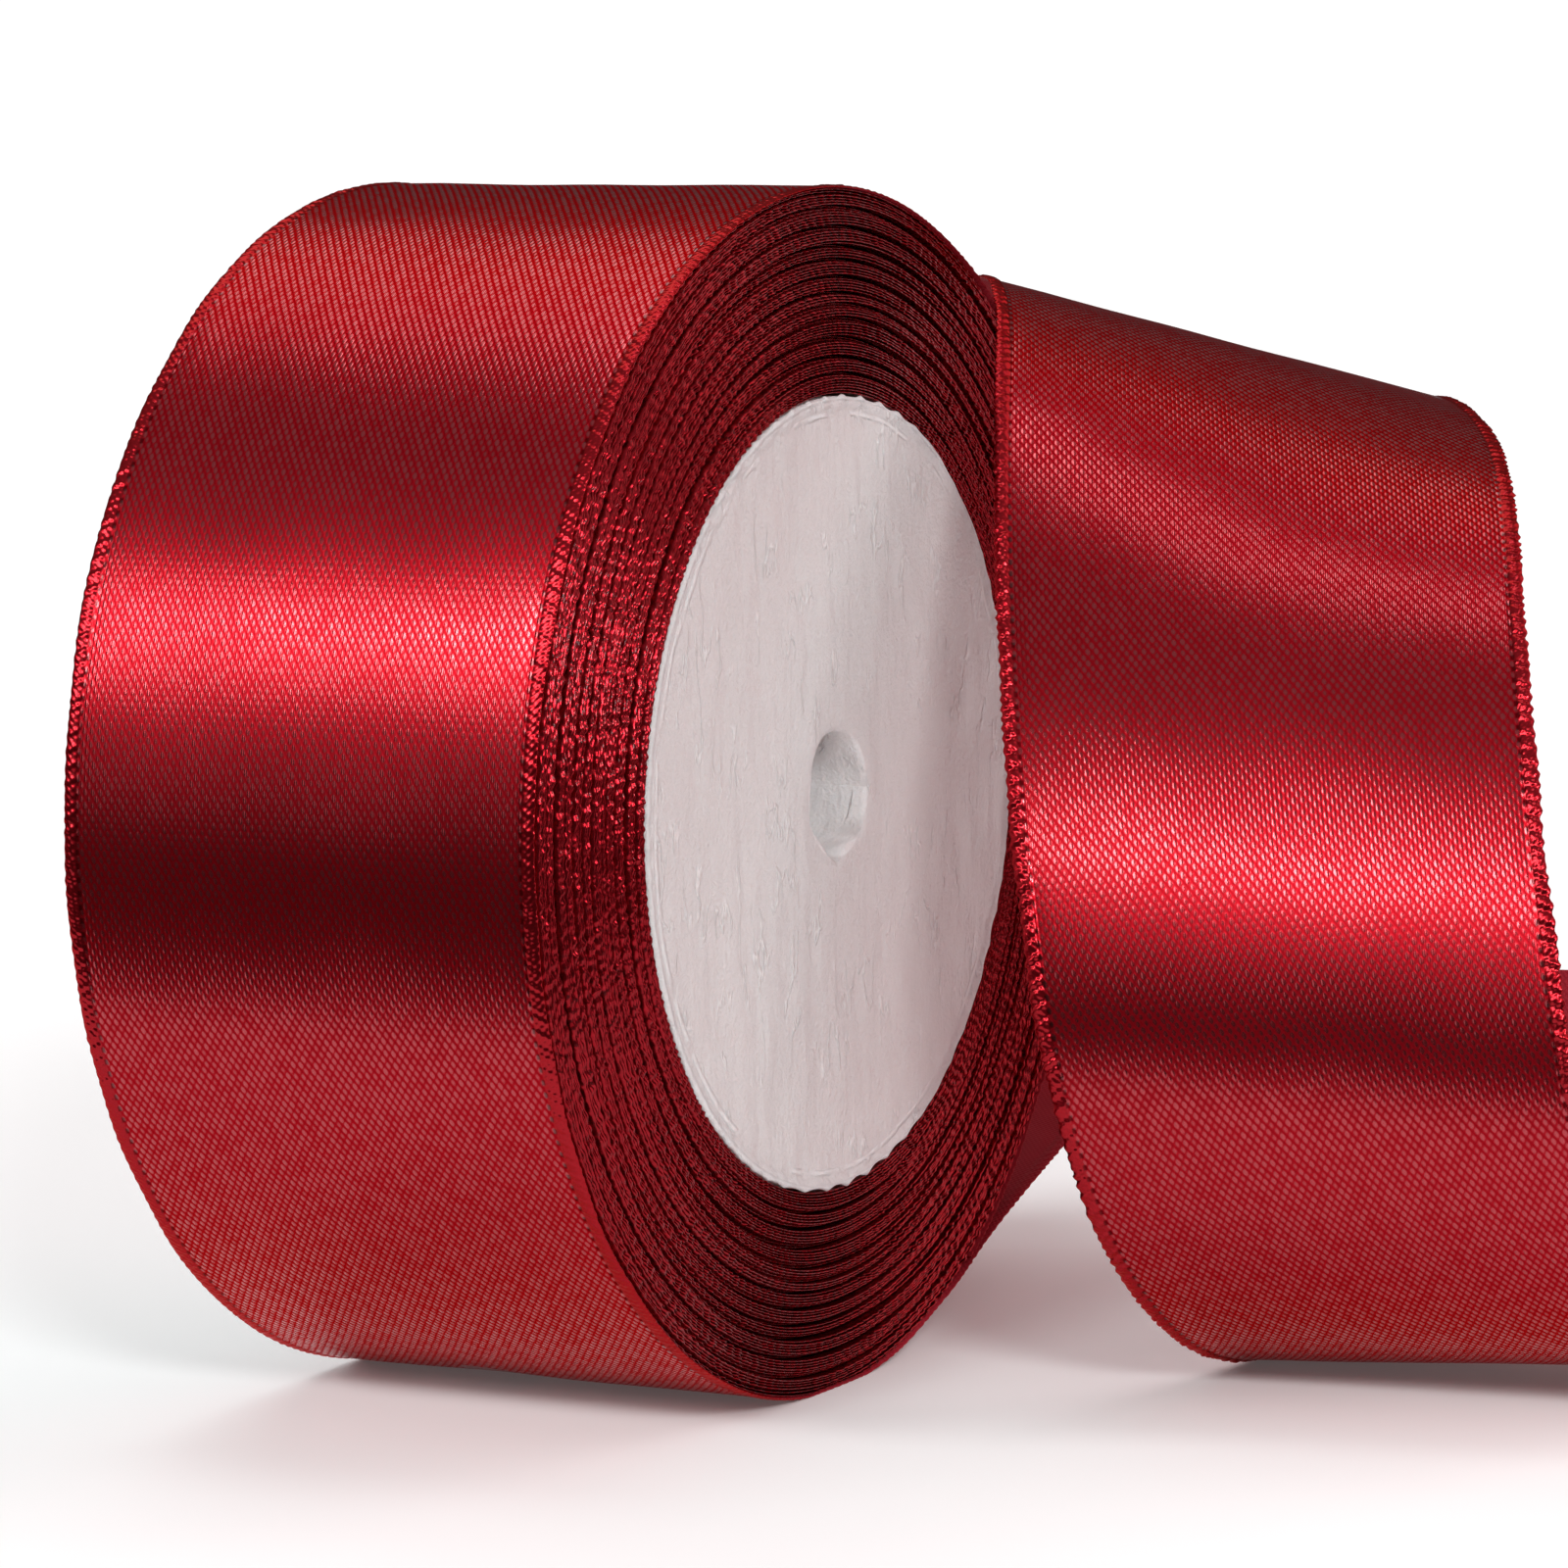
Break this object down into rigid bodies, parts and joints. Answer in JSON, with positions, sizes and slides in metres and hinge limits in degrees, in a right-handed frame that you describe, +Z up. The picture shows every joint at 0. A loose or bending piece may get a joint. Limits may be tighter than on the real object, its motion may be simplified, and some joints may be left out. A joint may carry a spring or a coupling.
{
  "type": "ribbon spool",
  "caption": "Roll of satin gift ribbon on a foam core, standing on its rim, with its free end curled off to one side in an open loop.",
  "frame": {"origin": "middle of the core's bore", "axes": "+Y along the roll's axis, from its open face to its far face; +Z up; +X towards the side where the free end rises behind the roll"},
  "size_m": [0.1259, 0.1004, 0.0888],
  "materials": {
    "satin": "single-face polyester satin with woven selvages, shiny side out",
    "foam": "expanded polyethylene foam, cut faces",
    "tape": "double-sided adhesive tape"
  },
  "bodies": {
    "free_ribbon": {"last_turns": "satin", "tail_lead": "satin"},
    "spool": {"foam_core": "foam", "core_tape": "tape", "winding_01": "satin", "winding_02": "satin", "winding_03": "satin", "winding_04": "satin", "winding_05": "satin", "winding_06": "satin", "winding_07": "satin", "winding_08": "satin", "winding_09": "satin", "winding_10": "satin", "winding_11": "satin", "winding_12": "satin"},
    "tail_loop": {"tail_loop": "satin"},
    "tail_end": {"tail_end": "satin"}
  },
  "joints": [
    {"name": "unwind", "type": "hinge", "parent": "free_ribbon", "child": "spool", "pos_m": [0, 0, 0], "axis": [0, 1, 0], "continuous": true},
    {"name": "tail_lift", "type": "hinge", "parent": "free_ribbon", "child": "tail_loop", "pos_m": [0.07105, -0.0017, -0.00442], "axis": [-0.3316, 0.9039, 0.2701], "range_deg": [0, 30]},
    {"name": "tail_curl", "type": "hinge", "parent": "tail_loop", "child": "tail_end", "pos_m": [0.02035, -0.06188, -0.04231], "axis": [-0.0194, -0.9973, 0.0713], "range_deg": [-20, 30], "stiffness_Nm_per_rad": 0.003}
  ]
}
